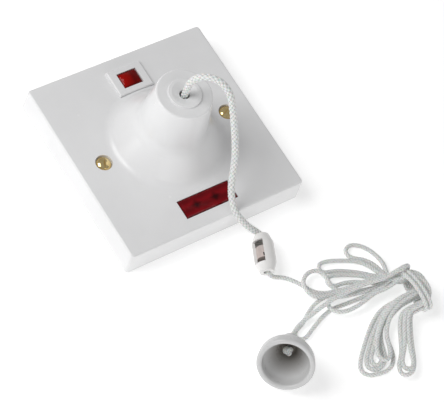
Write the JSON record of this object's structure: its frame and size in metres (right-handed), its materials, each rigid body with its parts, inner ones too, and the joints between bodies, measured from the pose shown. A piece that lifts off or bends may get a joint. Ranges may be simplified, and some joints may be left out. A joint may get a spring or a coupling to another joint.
{
  "type": "pull cord switch",
  "caption": "Square plate with a flared dome, a cord leaving its nose, a flag window, a neon lens, and a bell-shaped pull on a bunched cord.",
  "frame": {"origin": "middle of the square plate's rear face", "axes": "+Z out of the plate to the dome's nose, +X from the left fixing screw to the right one, +Y towards the flag window"},
  "size_m": [0.1101, 0.1756, 0.063],
  "materials": {
    "shell_white": "glossy moulded white",
    "base_white": "plain moulded",
    "nylon": "natural nylon",
    "brass": "polished",
    "steel": "zinc plated",
    "copper": "rolled copper",
    "silver": "silver contact",
    "flag_red": "red moulding",
    "lens_red": "clear red plastic",
    "neon_red": "dark clear red plastic",
    "lamp_glass": "clear glass",
    "resistor_body": "lacquered",
    "lead_white": "insulated lead",
    "cord_white": "braided polyester",
    "connector_white": "moulded off-white",
    "knob_grey": "moulded pale grey"
  },
  "bodies": {
    "housing": {"front_cover": "shell_white", "flag_bezel": "shell_white", "cord_bush": "shell_white", "fixing_screws": "brass", "rear_base": "base_white", "base_screws": "steel", "return_spring": "steel", "backstop_spring": "steel", "earth_terminal": "brass", "earth_screw": "steel", "terminal_screws": "steel", "flag_lens": "lens_red", "flag_pin": "steel", "flag_link_spring": "steel", "neon_lens": "neon_red", "neon_holder": "nylon", "neon_lamp": "lamp_glass", "neon_leads": "lead_white", "neon_resistor": "resistor_body", "connector_shell": "connector_white", "connector_insert": "connector_white", "pull_knob": "knob_grey", "knob_knot": "cord_white", "upper_cord": "cord_white", "lower_lead": "cord_white", "lower_tail": "cord_white", "hank_left": "cord_white", "hank_front": "cord_white", "hank_end": "cord_white", "hank_tie": "cord_white", "contact_tip_1": "silver", "fixed_contact_1": "copper", "terminal_block_1": "brass", "contact_tip_2": "silver", "fixed_contact_2": "copper", "terminal_block_2": "brass", "contact_tip_3": "silver", "fixed_contact_3": "copper", "terminal_block_3": "brass", "contact_tip_4": "silver", "fixed_contact_4": "copper", "terminal_block_4": "brass"},
    "plunger": {"plunger": "nylon", "plunger_knot": "cord_white"},
    "rotor": {"rotor_drum": "nylon", "ratchet_wheel": "nylon", "flag_cam": "nylon", "bridge_contact_1": "copper", "bridge_contact_2": "copper", "rotor_axle": "steel"},
    "flag_slide": {"flag_link": "nylon"},
    "flag": {"flag_drum": "base_white", "flag_red_segment": "flag_red"}
  },
  "joints": [
    {"name": "pull", "type": "slide", "parent": "housing", "child": "plunger", "axis": [0, 0, 1], "range_m": [0, 0.008], "stiffness_N_per_m": 400, "springref_m": -0.01, "deforming": ["return_spring", "upper_cord"]},
    {"name": "rotor_turn", "type": "hinge", "parent": "housing", "child": "rotor", "pos_m": [0, 0, 0.009], "axis": [1, 0, 0], "range_deg": [0, 90]},
    {"name": "flag_throw", "type": "slide", "parent": "housing", "child": "flag_slide", "axis": [0, -1, 0], "range_m": [0, 0.004], "deforming": ["flag_link_spring"]},
    {"name": "flag_turn", "type": "hinge", "parent": "housing", "child": "flag", "pos_m": [0, 0.03, 0.0054], "axis": [1, 0, 0], "range_deg": [0, 90]}
  ],
  "couplings": [
    {"joint": "rotor_turn", "follows": "pull", "rad_per_m": 196.34},
    {"joint": "flag_throw", "follows": "pull", "ratio": 0.5},
    {"joint": "flag_turn", "follows": "pull", "rad_per_m": 196.34}
  ]
}
